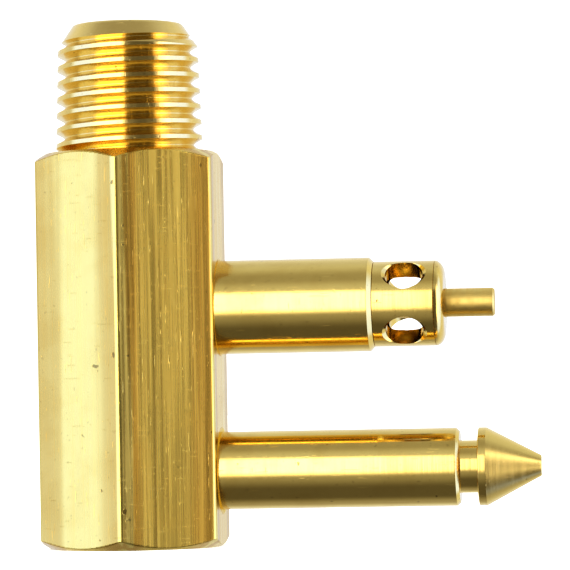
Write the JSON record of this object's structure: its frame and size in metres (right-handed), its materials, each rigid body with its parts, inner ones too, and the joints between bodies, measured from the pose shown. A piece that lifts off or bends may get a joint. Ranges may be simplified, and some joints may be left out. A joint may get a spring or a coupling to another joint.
{
  "type": "fuel line tank connector",
  "caption": "Brass two-prong male fuel tank connector: a hexagonal body with a tapered pipe thread, a sprung valve prong and a solid guide pin with a latch groove.",
  "frame": {"origin": "centre of the hexagonal body's lower end face", "axes": "+Z along the body's axis, up through the pipe thread; +X along the prongs, out of the flat that they are set in; +Y across, completing a right-handed frame"},
  "size_m": [0.0449, 0.0184, 0.0476],
  "materials": {
    "drawn_brass": "cold-drawn, with fine lengthwise draw lines and light handling marks",
    "turned_brass": "bright turned, with fine circumferential tool marks",
    "pin_brass": "turned, slightly satin",
    "spring_steel": "drawn stainless wire",
    "nitrile": "matt moulded nitrile rubber"
  },
  "bodies": {
    "connector": {"hex_body": "drawn_brass", "fuel_barrel": "turned_brass", "valve_cage": "turned_brass", "nose_bush": "turned_brass", "seat_ring": "nitrile", "valve_spring": "spring_steel", "guide_pin": "turned_brass"},
    "valve": {"valve_pin": "pin_brass"}
  },
  "joints": [
    {"name": "valve_press", "type": "slide", "parent": "connector", "child": "valve", "axis": [-1, 0, 0], "range_m": [0, 0.003], "stiffness_N_per_m": 800, "springref_m": -0.003, "deforming": ["valve_spring"]}
  ]
}
